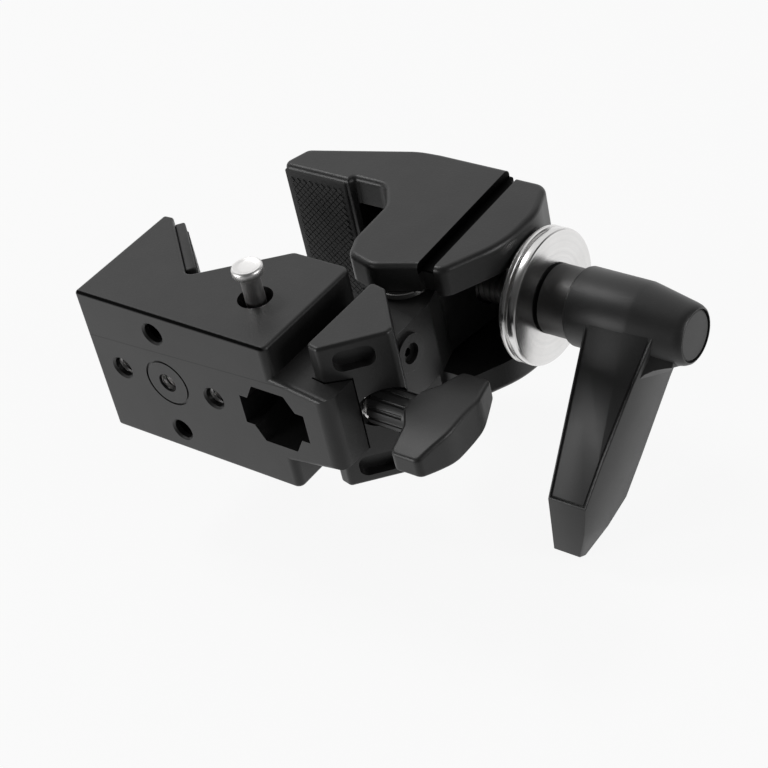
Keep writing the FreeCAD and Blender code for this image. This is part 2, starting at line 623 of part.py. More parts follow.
def lever_handle():
    """Moulded lever: a tapered hub and an arm that narrows in both directions."""
    hub = along_screw([
        (INSERT_END + 0.2, 0), (INSERT_END + 0.2, HUB_R - 0.8), (INSERT_END + 1.0, HUB_R),
        (HUB_SHOULDER, HUB_R - 0.1), (HUB_NOSE, HUB_NOSE_R), (HUB_END, HUB_NOSE_R - 0.6),
        (HUB_END, 0),
    ])
    stations = [
        (0, HANDLE_LEFT, HUB_SHOULDER + 6.4, 6.2), (0.2, HANDLE_LEFT - 0.5, HUB_SHOULDER + 3.2, 5.6),
        (0.5, HANDLE_LEFT - 1.3, HUB_SHOULDER, 5.0), (1, HANDLE_LEFT - 2.6, HUB_SHOULDER - 4.8, 4.2),
    ]
    wires = []
    for share, left, right, half in stations:
        corners = [(left, -half, 1.9), (right, -half, 1.9), (right, half, 1.9), (left, half, 1.9)]
        wires.append(outline(corners, -share * HANDLE_REACH).OuterWire)
    arm = Part.makeLoft(wires, True, False)
    chamfer = Part.makeBox(9, 20, 9, V(-4.5, -10, -9))
    chamfer.rotate(CENTRE, ALONG_Y, 45)
    chamfer.rotate(CENTRE, ALONG_Y, 15)
    chamfer.translate(V(HANDLE_LEFT - 4.2, 0, 0.4 - HANDLE_REACH))
    arm = arm.cut(chamfer)
    tip = [
        edge for edge in arm.Edges
        if all(abs(corner.Z + HANDLE_REACH) < 0.001 for corner in edge.Vertexes)
    ]
    arm = arm.makeFillet(1.2, tip)
    arm.rotate(CENTRE, ALONG_X, -HANDLE_ANGLE)
    arm.translate(V(0, SCREW_Y, 0))
    handle = hub.fuse(arm)
    cavity = along_screw([
        (INSERT_END - 1, 0), (INSERT_END - 1, SPLINE_R + 0.1), (SPLINE_END + 0.3, SPLINE_R + 0.1),
        (SPLINE_END + 0.3, 2.4), (SPLINE_END + LEVER_SHELF, 2.4), (SPLINE_END + LEVER_SHELF, 5.6),
        (HUB_NOSE - 0.8, 5.6), (HUB_NOSE - 0.8, CAP_R), (HUB_END + 1, CAP_R), (HUB_END + 1, 0),
    ])
    return handle.cut(cavity)


def lever_cap():
    return along_screw([
        (HUB_NOSE - 0.8, 0), (HUB_NOSE - 0.8, CAP_R), (HUB_END - 0.5, CAP_R),
        (HUB_END - 0.2, CAP_R - 0.6), (HUB_END - 0.2, 0),
    ])


def pieces():
    return {
        "fixed_jaw": fixed_jaw(),
        "fixed_pad": fixed_pad(),
        "nose_block": nose_block(),
        "grub_screw": grub_screw(),
        "lock_pin": lock_pin(),
        "lock_pin_bush": lock_bush(),
        "lock_pin_plug": lock_plug(),
        "lock_pin_spring": lock_spring(),
        "clamping_shoe": clamping_shoe(),
        "knob_screw": knob_screw(),
        "wing_knob": wing_knob(),
        "pivot_pin": pivot_pin(),
        "pivot_clip": pivot_clip(),
        "upper_pivot_washer": pivot_washer(1),
        "lower_pivot_washer": pivot_washer(-1),
        "jaw_spring": jaw_spring(),
        "trunnion": trunnion(),
        "moving_jaw": moving_jaw(),
        "moving_pad": moving_pad(),
        "inner_disc": inner_disc(),
        "outer_disc": outer_disc(),
        "main_screw": main_screw(),
        "screw_stop_ring": stop_ring(),
        "hub_insert": hub_insert(),
        "lever_screw": lever_screw(),
        "spring_seat": spring_seat(),
        "lever_spring": lever_spring(),
        "lever_handle": lever_handle(),
        "lever_cap": lever_cap(),
    }


os.makedirs("parts", exist_ok=True)
for name, shape in pieces().items():
    shape.translate(V(-HOLE_X, 0, 0))
    if shape.ShapeType == "Compound" and len(shape.Solids) == 1:
        shape = shape.Solids[0]
    print(name, shape.ShapeType, len(shape.Solids), shape.isValid(), round(shape.Volume, 1))
    shape.exportStep("parts/" + name + ".step")
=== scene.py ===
from math import cos, radians, sin
import bpy
from mathutils import Matrix, Quaternion, Vector


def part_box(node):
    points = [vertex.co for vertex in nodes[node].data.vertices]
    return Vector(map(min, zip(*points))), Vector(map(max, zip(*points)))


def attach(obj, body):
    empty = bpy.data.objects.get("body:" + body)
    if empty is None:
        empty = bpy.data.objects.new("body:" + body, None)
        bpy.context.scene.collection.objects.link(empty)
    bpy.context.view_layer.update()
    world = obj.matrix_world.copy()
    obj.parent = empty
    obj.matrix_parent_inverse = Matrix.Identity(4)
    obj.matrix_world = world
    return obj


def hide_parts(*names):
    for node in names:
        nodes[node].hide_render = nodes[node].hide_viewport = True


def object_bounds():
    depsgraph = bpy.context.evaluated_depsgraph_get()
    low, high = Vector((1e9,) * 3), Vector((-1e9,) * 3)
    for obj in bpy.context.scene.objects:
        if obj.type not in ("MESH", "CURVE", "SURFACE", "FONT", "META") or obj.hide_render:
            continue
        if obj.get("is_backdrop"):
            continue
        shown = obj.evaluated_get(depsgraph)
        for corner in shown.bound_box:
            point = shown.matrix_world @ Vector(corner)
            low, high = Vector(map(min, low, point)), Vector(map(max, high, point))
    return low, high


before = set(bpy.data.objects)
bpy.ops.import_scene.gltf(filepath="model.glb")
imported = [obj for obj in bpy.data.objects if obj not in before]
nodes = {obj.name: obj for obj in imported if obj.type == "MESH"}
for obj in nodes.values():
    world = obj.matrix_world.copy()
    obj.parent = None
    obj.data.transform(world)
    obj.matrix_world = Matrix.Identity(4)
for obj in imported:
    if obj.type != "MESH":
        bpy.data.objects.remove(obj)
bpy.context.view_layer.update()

# Everything is in metres, in the frame of the CAD: x along the clamp, y away from the mounting
# face, z across the thickness. Profiles, outlines and lists of corners are in millimetres, and so
# are the discs' two radii.
MM = 0.001
MERGE = 0.001 * MM

SCREW_Y = 62.9 * MM
DISC_BORE = 5.25
DISC_R = 16.6
LEVER_LEAN = radians(-29.5)

HOLE_RING = 14.5 * MM
CENTRE_HOLE_R = 2.55 * MM
CENTRE_HOLE_DEPTH = 11.0 * MM
BASE_HOLE_R = 2.65 * MM
BASE_HOLE_DEPTH = 9.0 * MM
PARTING_Z = 9.0 * MM
PARTING_RISE = 0.05

GROOVE_X = 49.7 * MM
GROOVE_Y = 60 * MM
GROOVE_HALF = 2.15 * MM
GROOVE_FLOOR = 17.3 * MM
GROOVE_SLANT = 0.042

VEE_ROOT = Vector((-1.0, 15.8, 0)) * MM
VEE_SLOPE = radians(42)
FIXED_PAD_LENGTH = 21.0 * MM
FIXED_PAD_THICKNESS = 2.8 * MM
FIXED_PAD_UP_WALL = 13.4 * MM
LINING_SCORE = 0.24 * MM
LINING_PITCH = 1.9 * MM
LINING_BORDER = 0.9 * MM


# Shader groups

def new_group(name, inputs, outputs):
    """Node group; inputs are name, kind and value, outputs are name and kind."""
    tree = bpy.data.node_groups.new(name, "ShaderNodeTree")
    for title, kind, value in inputs:
        item = tree.interface.new_socket(title, in_out="INPUT", socket_type="NodeSocket" + kind)
        if value is not None:
            item.default_value = value
    for title, kind in outputs:
        tree.interface.new_socket(title, in_out="OUTPUT", socket_type="NodeSocket" + kind)
    return tree, tree.nodes.new("NodeGroupInput").outputs, tree.nodes.new("NodeGroupOutput").inputs


def wire(tree, node, links):
    """Pairs a node's sockets with values or with the sockets that feed them."""
    for key, source in links:
        if isinstance(source, bpy.types.NodeSocket):
            tree.links.new(source, node.inputs[key])
        else:
            node.inputs[key].default_value = source
    return node


def put(tree, kind, links=(), **settings):
    """New shader node with its properties set and its sockets wired."""
    node = tree.nodes.new("ShaderNode" + kind)
    for key, value in settings.items():
        setattr(node, key, value)
    return wire(tree, node, links)


def use_group(tree, which, links):
    node = tree.nodes.new("ShaderNodeGroup")
    node.node_tree = which
    return wire(tree, node, links).outputs


def sums(tree, operation, a, b=0.0):
    """Result of a Math node."""
    return put(tree, "Math", [(0, a), (1, b)], operation=operation).outputs[0]


def times(tree, a, b):
    return sums(tree, "MULTIPLY", a, b)


def ramp(tree, value, low, high, to_low=0.0, to_high=1.0):
    """Value taken from the range low to high into another range, and held at its ends."""
    node = put(tree, "MapRange", [
        ("Value", value), ("From Min", low), ("From Max", high),
        ("To Min", to_low), ("To Max", to_high),
    ])
    return node.outputs["Result"]


def noise(tree, vector, scale, detail, roughness):
    node = put(tree, "TexNoise", [
        ("Vector", vector), ("Scale", scale), ("Detail", detail), ("Roughness", roughness),
    ])
    return node.outputs["Fac"]


def edge_wear_group():
    """Mask that is 1 along sharp outer edges, broken up by noise."""
    tree, given, result = new_group("edge wear", [
        ("Vector", "Vector", None), ("Width", "Float", 0.0005), ("Breakup", "Float", 0.6),
    ], [("Mask", "Float")])
    rounded = put(tree, "Bevel", [("Radius", given["Width"])], samples=6)
    surface = put(tree, "NewGeometry")
    facing = put(tree, "VectorMath", [
        (0, rounded.outputs["Normal"]), (1, surface.outputs["Normal"]),
    ], operation="DOT_PRODUCT")
    bent = ramp(tree, facing.outputs["Value"], 0.99, 0.84)
    patchy = noise(tree, given["Vector"], 260.0, 4.0, 0.6)
    holes = times(tree, ramp(tree, patchy, 0.56, 0.42), given["Breakup"])
    unbroken = sums(tree, "SUBTRACT", 1.0, holes)
    tree.links.new(times(tree, bent, unbroken), result["Mask"])
    return tree


def grain_group():
    """Height of a coat's fine grain, with larger slow waves, and a value for colour variation."""
    tree, given, result = new_group("surface grain", [
        ("Vector", "Vector", None), ("Grain", "Float", 2600.0), ("Wave", "Float", 160.0),
        ("Wave Share", "Float", 0.3),
    ], [("Height", "Float"), ("Variation", "Float")])
    fine = noise(tree, given["Vector"], given["Grain"], 2.0, 0.6)
    wave = noise(tree, given["Vector"], given["Wave"], 2.0, 0.5)
    mixed = put(tree, "Mix", [("Factor", given["Wave Share"]), ("A", fine), ("B", wave)])
    tree.links.new(mixed.outputs["Result"], result["Height"])
    tree.links.new(noise(tree, given["Vector"], 55.0, 5.0, 0.6), result["Variation"])
    return tree


def dust_group():
    """Mask of pale dust on faces that look up, thicker in soft patches."""
    tree, given, result = new_group("dust", [
        ("Vector", "Vector", None), ("Amount", "Float", 0.2),
    ], [("Mask", "Float")])
    surface = put(tree, "NewGeometry")
    height = put(tree, "SeparateXYZ", [(0, surface.outputs["Normal"])])
    up = ramp(tree, height.outputs["Z"], 0.2, 1.0)
    patches = ramp(tree, noise(tree, given["Vector"], 90.0, 6.0, 0.7), 0.42, 0.75)
    specks = ramp(tree, noise(tree, given["Vector"], 2200.0, 1.0, 0.5), 0.68, 0.76)
    both = sums(tree, "ADD", times(tree, patches, 0.5), specks)
    tree.links.new(times(tree, times(tree, up, both), given["Amount"]), result["Mask"])
    return tree


def turning_group():
    """Fine rings round the main screw's axis, as a lathe leaves them."""
    tree, given, result = new_group("turning marks", [
        ("Vector", "Vector", None), ("Pitch", "Float", 9000.0),
    ], [("Height", "Float"), ("Shade", "Float")])
    centred = put(tree, "VectorMath", [(0, given["Vector"]), (1, (0, SCREW_Y, 0))],
                  operation="SUBTRACT")
    parts = put(tree, "SeparateXYZ", [(0, centred.outputs[0])])
    flat = put(tree, "CombineXYZ", [("Y", parts.outputs["Y"]), ("Z", parts.outputs["Z"])])
    radius = put(tree, "VectorMath", [(0, flat.outputs[0])], operation="LENGTH").outputs["Value"]
    rings = put(tree, "TexNoise", [("W", sums(tree, "ADD", radius, parts.outputs["X"])),
                                   ("Scale", given["Pitch"]), ("Detail", 3.0)],
                noise_dimensions="1D").outputs["Fac"]
    slow = put(tree, "TexNoise", [("W", radius), ("Scale", 700.0), ("Detail", 2.0)],
               noise_dimensions="1D").outputs["Fac"]
    tree.links.new(rings, result["Height"])
    tree.links.new(slow, result["Shade"])
    return tree


EDGE_WEAR = edge_wear_group()
GRAIN = grain_group()
DUST = dust_group()
TURNING = turning_group()


# Materials

def new_material(name, metallic=0.0):
    """Material with its tree, its Principled BSDF's sockets and the object coordinates."""
    material = bpy.data.materials.new(name)
    material.use_nodes = True
    tree = material.node_tree
    sockets = tree.nodes["Principled BSDF"].inputs
    sockets["Metallic"].default_value = metallic
    place = put(tree, "TexCoord").outputs["Object"]
    return material, tree, sockets, place


def blend_colour(tree, mask, under, over):
    """Colour under where the mask is 0 and over where it is 1; sockets 6 and 7 are the colours."""
    node = put(tree, "Mix", data_type="RGBA")
    return wire(tree, node, [(0, mask), (6, under), (7, over)]).outputs[2]


def grey(value, warm=0.0):
    return (value * (1 + warm), value, value * (1 - warm), 1)


DUST_GREY = grey(0.30, 0.03)
# SHADE_BLACK is the colour of painted shade.
SHADE_BLACK = grey(0.004)


def bumped(tree, sockets, height, distance):
    relief = put(tree, "Bump", [("Height", height), ("Distance", distance)])
    tree.links.new(relief.outputs[0], sockets["Normal"])


def coat(name, base, roughness, grain, bump, wear, wear_colour, dust, shaded=None):
    """Painted or moulded surface with grain, colour variation, worn edges and dust. Where the
    function shaded gives a mask, it paints shade, black and dull, and on the block also a faint
    parting line."""
    material, tree, sockets, place = new_material(name)
    texture = use_group(tree, GRAIN, [("Vector", place), ("Grain", grain)])
    worn = use_group(tree, EDGE_WEAR, [("Vector", place)])["Mask"]
    dusty = use_group(tree, DUST, [("Vector", place), ("Amount", dust)])["Mask"]
    colour = blend_colour(tree, texture["Variation"], grey(base * 0.8), grey(base * 1.2))
    colour = blend_colour(tree, times(tree, worn, wear), colour, grey(wear_colour))
    colour = blend_colour(tree, dusty, colour, DUST_GREY)
    rough = ramp(tree, texture["Variation"], 0.25, 0.75, roughness - 0.04, roughness + 0.05)
    rough = sums(tree, "SUBTRACT", rough, times(tree, worn, 0.12))
    rough = sums(tree, "ADD", rough, times(tree, dusty, 0.3))
    if shaded:
        # Painted shade: black colour, more roughness and full metallic where the mask is 1.
        shade = shaded(tree, place)
        colour = blend_colour(tree, shade, colour, SHADE_BLACK)
        rough = sums(tree, "ADD", rough, times(tree, shade, 0.3))
        tree.links.new(shade, sockets["Metallic"])
    tree.links.new(colour, sockets["Base Color"])
    tree.links.new(rough, sockets["Roughness"])
    bumped(tree, sockets, texture["Height"], bump)
    return material


def metal(name, base, roughness, bump=0.00001, spots=0.12, turned=False):
    """Plated or bare steel with fine marks and a few dull spots."""
    material, tree, sockets, place = new_material(name, metallic=1.0)
    texture = use_group(tree, GRAIN, [("Vector", place), ("Grain", 1500.0)])
    dull = ramp(tree, texture["Variation"], 0.45, 0.8)
    colour = blend_colour(tree, times(tree, dull, spots * 3), grey(base, 0.01),
                          grey(base * 0.72, 0.03))
    height = texture["Height"]
    if turned:
        rings = use_group(tree, TURNING, [("Vector", place)])
        height = rings["Height"]
        ringed = ramp(tree, rings["Shade"], 0.3, 0.7, 0.0, 0.35)
        colour = blend_colour(tree, ringed, colour, grey(base * 0.8))
    rough = ramp(tree, texture["Variation"], 0.3, 0.8, roughness, roughness + spots)
    tree.links.new(colour, sockets["Base Color"])
    tree.links.new(rough, sockets["Roughness"])
    bumped(tree, sockets, height, bump)
    return material


def band(tree, value, middle, half, soft):
    """1 within half of the middle, 0 further than half plus soft."""
    away = sums(tree, "ABSOLUTE", sums(tree, "SUBTRACT", value, middle))
    return ramp(tree, away, half + soft, half)


def painted_edge_shade_and_parting_line(tree, place):
    """Painted shade along the top edge of the mounting face, black and dull, and a faint parting
    line across the face.
    """
    x, y, z = put(tree, "SeparateXYZ", [(0, place)]).outputs[:3]
    near_front = band(tree, y, 0.0, 0.5 * MM, 0.3 * MM)
    # Painted shade: the top front edge is made black and dull.
    edge = times(tree, near_front, ramp(tree, z, 19.8 * MM, 20.1 * MM))
    height = sums(tree, "SUBTRACT", z, times(tree, x, PARTING_RISE))
    on_front = band(tree, y, 0.0, 0.2 * MM, 0.1 * MM)
    line = times(tree, band(tree, height, PARTING_Z, 0.05 * MM, 0.12 * MM), on_front)
    return sums(tree, "MAXIMUM", edge, times(tree, line, 0.3))


def painted_groove_shade(tree, place):
    """Painted shade in the groove across the moving jaw's top."""
    x, y, z = put(tree, "SeparateXYZ", [(0, place)]).outputs[:3]
    drift = times(tree, sums(tree, "SUBTRACT", y, GROOVE_Y), GROOVE_SLANT)
    inside = band(tree, sums(tree, "ADD", x, drift), GROOVE_X, GROOVE_HALF, 0.1 * MM)
    return times(tree, inside, ramp(tree, z, GROOVE_FLOOR - 0.3 * MM, GROOVE_FLOOR))


def powder(name, shaded=None):
    return coat(name, 0.010, 0.40, 1900.0, 0.00004, 0.25, 0.05, 0.05, shaded)


# Coats: base colour, roughness, grain, bump, wear, worn colour, dust. Metals: base, roughness.
POWDER_COAT = powder("black powder coat")
# The block's and the jaw's coats carry painted shade: along the block's top front edge, and in the
# jaw's groove.
BLOCK_COAT = powder("black powder coat on the block", painted_edge_shade_and_parting_line)
JAW_COAT = powder("black powder coat on the jaw", painted_groove_shade)
MOULDED_BLACK = coat("moulded black plastic", 0.012, 0.44, 3200.0, 0.00003, 0.2, 0.04, 0.04)
SCORED_RUBBER = coat("scored black rubber", 0.012, 0.70, 2400.0, 0.00005, 0.15, 0.04, 0.08)
RUBBER = coat("black rubber", 0.014, 0.50, 2400.0, 0.00005, 0.15, 0.04, 0.10)
BRIGHT_STEEL = metal("nickel plated steel", 0.72, 0.2)
TURNED_STEEL = metal("turned bright steel", 0.80, 0.17, bump=0.000004, turned=True)
BARE_ALUMINIUM = metal("bare tapped aluminium", 0.62, 0.24)
OILED_STEEL = metal("oiled steel", 0.36, 0.3)
BLACK_STEEL = metal("blackened steel", 0.07, 0.36)
TURNED_BLACK = metal("blackened turned steel", 0.10, 0.40, bump=0.00004, turned=True)
# Near-black metal for painted shade in gaps, grooves and holes.
PAINTED_SHADE_METAL = metal("unlit gap", 0.004, 0.7)
SATIN_NICKEL = metal("satin nickel", 0.86, 0.36)


def finish_with(piece, material):
    piece.data.materials.clear()
    piece.data.materials.append(material)
    for polygon in piece.data.polygons:
        polygon.material_index = 0


def dress(material, *names):
    for name in names:
        finish_with(nodes[name], material)


dress(BLOCK_COAT, "fixed_jaw")
dress(JAW_COAT, "moving_jaw")
dress(POWDER_COAT, "nose_block")
dress(MOULDED_BLACK, "wing_knob", "lever_handle", "lever_cap")
dress(RUBBER, "fixed_pad", "moving_pad")
dress(TURNED_STEEL, "inner_disc", "outer_disc")
dress(BRIGHT_STEEL, "lock_pin", "lock_pin_bush", "upper_pivot_washer", "lower_pivot_washer",
      "clamping_shoe", "lock_pin_plug", "pivot_pin")
dress(OILED_STEEL, "main_screw", "knob_screw", "trunnion", "spring_seat")
dress(TURNED_BLACK, "hub_insert")
dress(BLACK_STEEL, "grub_screw", "pivot_clip", "screw_stop_ring", "lever_screw",
      "lock_pin_spring", "jaw_spring", "lever_spring")


# Modelling helpers

def rest_selection():
    """Object mode with nothing selected."""
    if bpy.context.object and bpy.context.object.mode != "OBJECT":
        bpy.ops.object.mode_set(mode="OBJECT")
    bpy.ops.object.select_all(action="DESELECT")


def started(name):
    """Names the piece that an operator has just added."""
    piece = bpy.context.object
    piece.name = name
    piece.data.name = name
    return piece


def work_on(piece, mode="EDIT"):
    """Selects one piece alone, and enters the mode."""
    rest_selection()
    piece.select_set(True)
    bpy.context.view_layer.objects.active = piece
    bpy.ops.object.mode_set(mode=mode)


def select_all():
    bpy.ops.mesh.select_all(action="SELECT")


def baked(piece):
    """Puts an object's place, turn and scale into its mesh."""
    work_on(piece, "OBJECT")
    bpy.ops.object.transform_apply(location=True, rotation=True, scale=True)


def pick_faces(piece, wanted):
    """Leaves only the faces that pass a test selected, in edit mode."""
    work_on(piece, "OBJECT")
    for corner in piece.data.vertices:
        corner.select = False
    for edge in piece.data.edges:
        edge.select = False
    for face in piece.data.polygons:
        face.select = wanted(face)
    bpy.ops.object.mode_set(mode="EDIT")
    bpy.ops.mesh.select_mode(type="FACE")


def applied(piece, kind, **settings):
    """Adds a modifier with its settings and applies it."""
    work_on(piece, "OBJECT")
    modifier = piece.modifiers.new(kind.lower(), kind)
    for key, value in settings.items():
        setattr(modifier, key, value)
    bpy.ops.object.modifier_apply(modifier=modifier.name)


def settled(piece, body, material, smooth=30.0):
    """Puts a finished piece's place into its mesh and hands it to its body."""
    baked(piece)
    bpy.ops.object.mode_set(mode="EDIT")
    select_all()
    bpy.ops.mesh.normals_make_consistent(inside=False)
    bpy.ops.object.mode_set(mode="OBJECT")
    bpy.ops.object.shade_smooth_by_angle(angle=radians(smooth))
    finish_with(piece, material)
    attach(piece, body)


def joined(name, pieces):
    rest_selection()
    for piece in pieces:
        piece.select_set(True)
    bpy.context.view_layer.objects.active = pieces[0]
    bpy.ops.object.join()
    return started(name)


# Lines, turned pieces and threads

def chain(name, corners):
    """Line of edges through the corners, drawn by extruding one corner."""
    rest_selection()
    bpy.ops.mesh.primitive_plane_add(size=MM)
    piece = started(name)
    bpy.ops.object.mode_set(mode="EDIT")
    bpy.ops.mesh.select_mode(type="VERT")
    select_all()
    bpy.ops.mesh.merge(type="CENTER")
    bpy.ops.transform.translate(value=corners[0])
    for before, after in zip(corners, corners[1:]):
        step = Vector(after) - Vector(before)
        bpy.ops.mesh.extrude_region_move(TRANSFORM_OT_translate={"value": step})
    bpy.ops.object.mode_set(mode="OBJECT")
    return piece


def lathe(name, profile, axis, steps=144):
    """Closed profile of distance along the axis and radius, turned about that axis."""
    if axis == "X":
        corners = [(along * MM, 0, radius * MM) for along, radius in profile]
    else:
        corners = [(radius * MM, 0, along * MM) for along, radius in profile]
    piece = chain(name, corners + corners[:1])
    applied(piece, "SCREW", axis=axis, screw_offset=0.0, iterations=1, steps=steps,
            render_steps=steps)
    work_on(piece)
    select_all()
    bpy.ops.mesh.remove_doubles(threshold=2 * MERGE)
    bpy.ops.object.mode_set(mode="OBJECT")
    return piece


def sliced(piece, point, normal, filled=True):
    """Cuts away what lies beyond a plane, where the normal points, and closes the cut."""
    work_on(piece)
    select_all()
    bpy.ops.mesh.bisect(plane_co=point, plane_no=normal, clear_outer=True, use_fill=filled,
                        threshold=MERGE)
    bpy.ops.object.mode_set(mode="OBJECT")


def thread(name, root, crest, pitch, length, filled=True, steps=36):
    """Helical thread that stands on the origin along Z, cut square at both ends."""
    corners = [(radius, 0, share * pitch) for radius, share in (
        (root, 0.0), (root, 0.1), (crest, 0.43), (crest, 0.57), (root, 0.9), (root, 1.0))]
    piece = chain(name, corners)
    applied(piece, "SCREW", axis="Z", screw_offset=pitch, iterations=int(length / pitch) + 3,
            steps=steps, render_steps=steps)
    work_on(piece)
    select_all()
    bpy.ops.mesh.remove_doubles(threshold=MERGE)
    low = 1.2 * pitch
    sliced(piece, (0, 0, low), (0, 0, -1), filled)
    sliced(piece, (0, 0, low + length), (0, 0, 1), filled)
    work_on(piece)
    select_all()
    bpy.ops.transform.translate(value=(0, 0, -low))
    bpy.ops.object.mode_set(mode="OBJECT")
    return piece


def tapped_hole(name, x, z, bore, depth, pitch, start, material):
    """Thread in one of the mounting holes, from start behind the face down to the depth."""
    piece = thread(name, bore - 0.05 * MM, bore - 0.36 * MM, pitch, depth - start, filled=False)
    applied(piece, "SOLIDIFY", thickness=0.04 * MM, offset=0.0)
    piece.rotation_euler = (radians(-90), 0, 0)
    piece.location = (x, start, z)
    settled(piece, "fixed", material, 40)


def screw_like(node, body, depth, pitch, material):
    """Threaded screw along X in place of a plain one."""
    low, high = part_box(node)
    radius = (high.z - low.z) / 2
    piece = thread(node + "_threaded", radius - depth, radius, pitch, high.x - low.x)
    piece.rotation_euler = (0, radians(90), 0)
    piece.location = (low.x, (low.y + high.y) / 2, 0)
    settled(piece, body, material, 40)
    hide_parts(node)


screw_like("main_screw", "screw", 0.8 * MM, 1.5 * MM, OILED_STEEL)
screw_like("knob_screw", "knob", 0.6 * MM, 1.25 * MM, BRIGHT_STEEL)
# The five tapped holes are one metal, but the base holes get darker materials than the centre
# hole: painted shade, oiled steel in the left and right holes and near black in the upper and
# lower ones.
tapped_hole("centre_thread", 0, 0, CENTRE_HOLE_R, CENTRE_HOLE_DEPTH, 1.27 * MM, 0.7 * MM,
            BARE_ALUMINIUM)
for number in range(4):
    turn = radians(90 * number)
    tapped_hole("base_thread_%d" % (number + 1), HOLE_RING * cos(turn), HOLE_RING * sin(turn),
                BASE_HOLE_R, BASE_HOLE_DEPTH, 1.0 * MM, 1.7 * MM,
                PAINTED_SHADE_METAL if number % 2 else OILED_STEEL)


# Linings

def diamond_field(name, along, across, pitch, height):
    """Rows of blunt diamonds on the XY plane round the origin, as crossed scores leave them."""
    fields = []
    for fewer in (0, 1):
        rest_selection()
        bpy.ops.mesh.primitive_cone_add(vertices=4, radius1=pitch * 0.5, radius2=pitch * 0.41,
                                        depth=height * 1.5, location=(0, 0, height * 0.25))
        piece = started(name)
        count_along = int(along / pitch) - fewer
        count_across = int(across / pitch) - fewer
        applied(piece, "ARRAY", count=count_along, use_relative_offset=False,
                use_constant_offset=True, constant_offset_displace=(pitch, 0, 0))
        applied(piece, "ARRAY", count=count_across, use_relative_offset=False,
                use_constant_offset=True, constant_offset_displace=(0, pitch, 0))
        piece.location.x -= (count_along - 1) * pitch / 2
        piece.location.y -= (count_across - 1) * pitch / 2
        fields.append(piece)
    return joined(name, fields)


def lining(name, along, across, thickness):
    """Rubber pad below the XY plane, with its scores standing on the plane."""
    field = diamond_field(name + "_field", along - 2 * LINING_BORDER, across - 2 * LINING_BORDER,
                          LINING_PITCH, LINING_SCORE)
    rest_selection()
    bpy.ops.mesh.primitive_cube_add(size=1.0)
    slab = started(name + "_slab")
    slab.dimensions = (along, across, thickness - LINING_SCORE)
    slab.location = (0, 0, (LINING_SCORE - thickness) / 2)
    baked(slab)
    applied(slab, "BEVEL", width=0.5 * MM, segments=3, limit_method="ANGLE")
    baked(field)
    return joined(name, [slab, field])


def fixed_lining():
    """Pad on the vee's left wall."""
    along = Vector((-cos(VEE_SLOPE), sin(VEE_SLOPE), 0))
    out = Vector((sin(VEE_SLOPE), cos(VEE_SLOPE), 0))
    low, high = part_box("fixed_pad")
    piece = lining("fixed_lining", FIXED_PAD_LENGTH, high.z - low.z, FIXED_PAD_THICKNESS)
    middle = VEE_ROOT + along * FIXED_PAD_UP_WALL + out * (FIXED_PAD_THICKNESS - LINING_SCORE)
    piece.matrix_world = Matrix((
        (along.x, 0, out.x, middle.x),
        (along.y, 0, out.y, middle.y),
        (0, 1, 0, 0),
        (0, 0, 0, 1)))
    settled(piece, "fixed", RUBBER)
    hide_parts("fixed_pad")


def moving_lining():
    """Pad in the hook, scored on the side that faces the vee."""
    low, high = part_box("moving_pad")
    piece = lining("moving_lining", high.x - low.x, high.z - low.z, high.y - low.y)
    piece.rotation_euler = (radians(90), 0, 0)
    piece.location = ((low.x + high.x) / 2, low.y + LINING_SCORE, (low.z + high.z) / 2)
    settled(piece, "jaw", SCORED_RUBBER)
    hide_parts("moving_pad")


moving_lining()
fixed_lining()


# Discs, lock pin, washer and the lever

def on_screw_axis(piece, body, material, smooth=30.0):
    """Moves a piece that was made round the X axis onto the main screw's axis."""
    piece.location = (0, SCREW_Y, 0)
    settled(piece, body, material, smooth)


def discs():
    """The two pressure discs, and a black ring of painted shade on the collar beside them,
    standing for a groove.
    """
    inner = lathe("inner_disc_turned", [
        (63.4, DISC_BORE), (63.4, 16.05), (63.65, 16.45), (64.05, DISC_R), (64.2, 16.3),
        (64.45, 16.3), (64.6, DISC_R), (65.0, 16.5), (65.35, 15.9), (65.4, 15.6),
        (65.4, DISC_BORE)], "X", 200)
    on_screw_axis(inner, "discs", TURNED_STEEL, 20)
    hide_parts("inner_disc")
    outer = lathe("outer_disc_turned", [
        (65.4, DISC_BORE), (65.4, 15.6), (65.6, 16.2), (66.0, 16.55), (66.3, DISC_R),
        (67.35, DISC_R), (67.75, 16.5), (68.02, 16.25), (68.1, 15.9), (68.1, DISC_BORE)],
        "X", 200)
    on_screw_axis(outer, "discs", TURNED_STEEL, 20)
    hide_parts("outer_disc")
    # Painted shade: a black ring stands for the dark groove on the collar.
    groove = lathe("collar_painted_groove_shade", [
        (68.12, 7.6), (68.12, 8.45), (68.3, 8.54), (68.75, 8.54), (68.9, 8.4), (68.9, 7.6)], "X")
    on_screw_axis(groove, "screw", PAINTED_SHADE_METAL)


def in_place_of(node, piece, body, material):
    """Moves a piece that was made round the Z axis onto the axis of the node it replaces."""
    low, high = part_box(node)
    piece.location = ((low.x + high.x) / 2, (low.y + high.y) / 2, 0)
    settled(piece, body, material, 35)
    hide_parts(node)


def lock_pin():
    """Pin with a dished head."""
    low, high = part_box("lock_pin")
    base, top = low.z / MM, high.z / MM
    piece = lathe("lock_pin_turned", [
        (base, 0), (base, 3.9), (base + 0.27, 4.17), (base + 6.3, 4.17), (base + 6.5, 3.9),
        (base + 6.5, 2.4), (top - 3.4, 2.4), (top - 3.0, 2.55), (top - 2.0, 3.6),
        (top - 1.7, 3.75), (top - 0.6, 3.75), (top - 0.25, 3.62), (top, 3.3), (top, 2.95),
        (top - 0.2, 2.6), (top - 0.3, 1.8), (top - 0.3, 0)], "Z")
    in_place_of("lock_pin", piece, "lock", SATIN_NICKEL)


